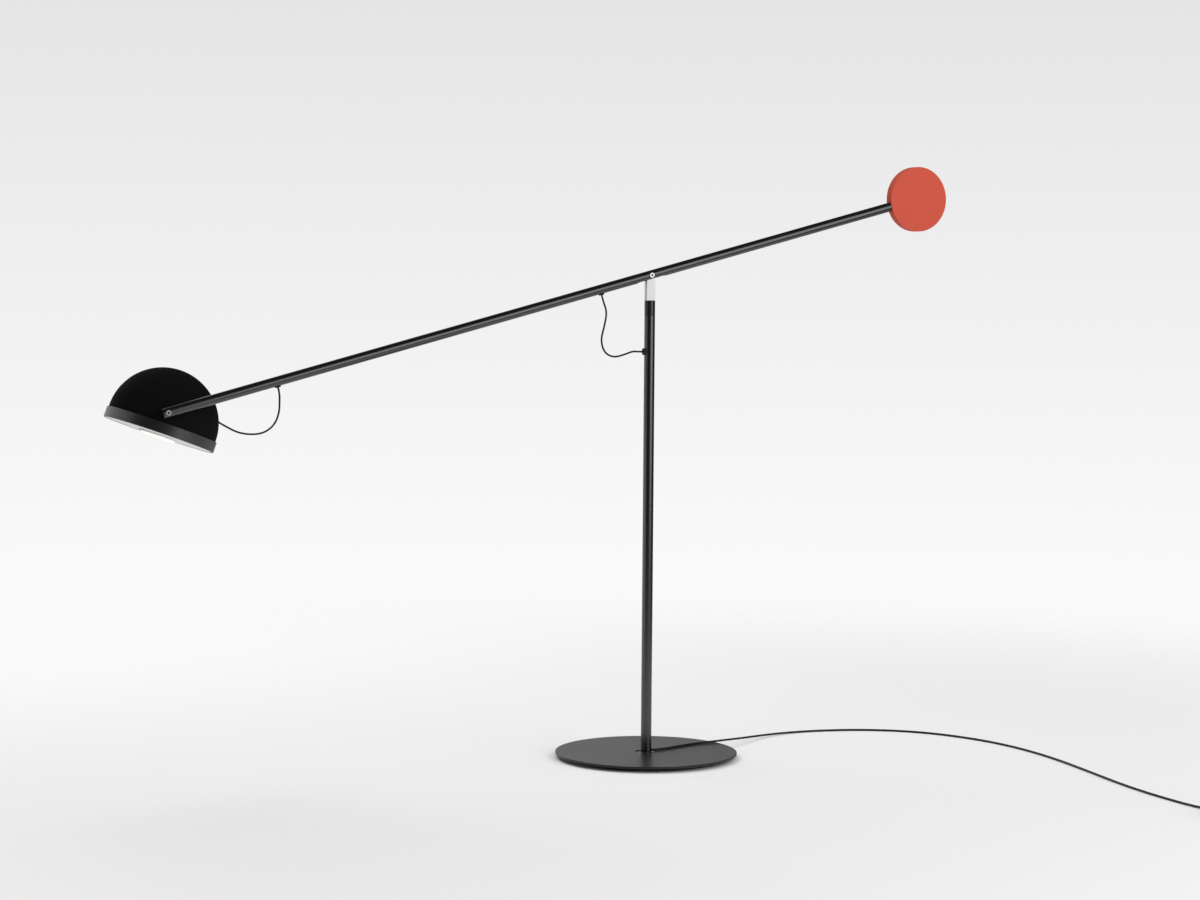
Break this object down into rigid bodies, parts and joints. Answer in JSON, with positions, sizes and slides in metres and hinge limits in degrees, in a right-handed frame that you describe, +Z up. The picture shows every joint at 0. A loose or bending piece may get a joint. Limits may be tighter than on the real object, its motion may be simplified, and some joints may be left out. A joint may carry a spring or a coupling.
{
  "type": "counterweight balance desk lamp",
  "caption": "Desk lamp: a thin arm tilts on a plain stem, with a red disc counterweight at one end and a black hemispherical LED shade at the other, on a thin round base, with its flex.",
  "frame": {"origin": "centre of the base's underside, which is also the stem's axis", "axes": "+Z up; the balance arm lies in the plane Y = 0 with its red counterweight towards +X and its shade towards -X; the shade hangs behind the arm, on the +Y side"},
  "size_m": [1.2967, 0.8799, 0.787],
  "materials": {
    "satin_black_steel": "satin black powder coat",
    "satin_black_aluminium": "satin black coat",
    "matte_black_dome": "very matte black coat",
    "red_paint": "satin orange-red paint",
    "bright_steel": "turned, lightly brushed",
    "swivel_metal": "milled flats, black blued post",
    "bare_aluminium": "stamped",
    "black_rubber": "moulded, matte",
    "pad_rubber": "plain, matte",
    "dark_nylon": "moulded",
    "white_reflector": "white, matte",
    "clear_lens": "clear",
    "emitter_yellow": "phosphor",
    "circuit_board": "white solder mask",
    "cord_sheath": "smooth black sheath",
    "switch_plastic": "fine-grained black plastic",
    "rocker_plastic": "smooth black plastic",
    "adapter_plastic": "fine-grained black plastic",
    "brass": "stamped"
  },
  "bodies": {
    "stand": {"base_plate": "satin_black_steel", "base_weight": "satin_black_steel", "base_pad": "pad_rubber", "foot_insert": "bright_steel", "plate_screws": "bright_steel", "stem_bolt": "bright_steel", "stem_tube": "satin_black_steel", "stem_foot": "bright_steel", "foot_grommet": "black_rubber", "stem_grommet": "black_rubber", "stem_cable": "cord_sheath", "swivel_bush": "dark_nylon", "seam_washer": "dark_nylon", "cord_flex": "cord_sheath", "switch_base": "switch_plastic", "switch_cover": "switch_plastic", "switch_block": "brass", "switch_reliefs": "cord_sheath", "cord_coil": "cord_sheath", "coil_tie": "dark_nylon", "adapter_base": "adapter_plastic", "adapter_cover": "adapter_plastic", "adapter_board": "circuit_board", "adapter_pins": "bright_steel", "adapter_relief": "cord_sheath"},
    "head": {"swivel_head": "swivel_metal", "retaining_clip": "bright_steel", "jumper_stem_arm": "cord_sheath"},
    "arm": {"arm_tube": "satin_black_aluminium", "friction_pads": "dark_nylon", "pivot_screw": "bright_steel", "spring_washer": "bright_steel", "pivot_nut": "bright_steel", "hinge_washer": "dark_nylon", "end_plug": "satin_black_aluminium", "tail_stud": "bright_steel", "arm_grommets": "black_rubber", "arm_cable": "cord_sheath", "counterweight_disc": "red_paint", "grub_screw": "bright_steel", "jumper_arm_shade": "cord_sheath"},
    "shade": {"dome": "matte_black_dome", "rim_ring": "satin_black_aluminium", "hinge_boss": "satin_black_aluminium", "hinge_pad": "black_rubber", "hinge_nut": "bright_steel", "hinge_screw": "bright_steel", "led_carrier": "bare_aluminium", "heat_sink": "bare_aluminium", "led_board": "circuit_board", "led_emitter": "emitter_yellow", "lens_holder": "white_reflector", "lens": "clear_lens", "reflector": "white_reflector", "driver_board": "circuit_board", "dome_grommet": "black_rubber", "dome_cable": "cord_sheath", "carrier_screws": "bright_steel"},
    "rocker": {"switch_rocker": "rocker_plastic"}
  },
  "joints": [
    {"name": "swivel", "type": "hinge", "parent": "stand", "child": "head", "pos_m": [0, 0, 0.5825], "axis": [0, 0, 1], "range_deg": [-90, 90], "deforming": ["jumper_stem_arm"]},
    {"name": "arm_tilt", "type": "hinge", "parent": "head", "child": "arm", "pos_m": [0, 0, 0.636], "axis": [0, 1, 0], "range_deg": [-35, 28], "deforming": ["jumper_stem_arm"]},
    {"name": "shade_tilt", "type": "hinge", "parent": "arm", "child": "shade", "pos_m": [-0.64874, 0, 0.4646], "axis": [0, 1, 0], "range_deg": [-60, 30], "deforming": ["jumper_arm_shade"]},
    {"name": "rocker_swing", "type": "hinge", "parent": "stand", "child": "rocker", "pos_m": [0.46, -0.642, 0.009], "axis": [1, 0, 0], "range_deg": [0, 12]}
  ]
}
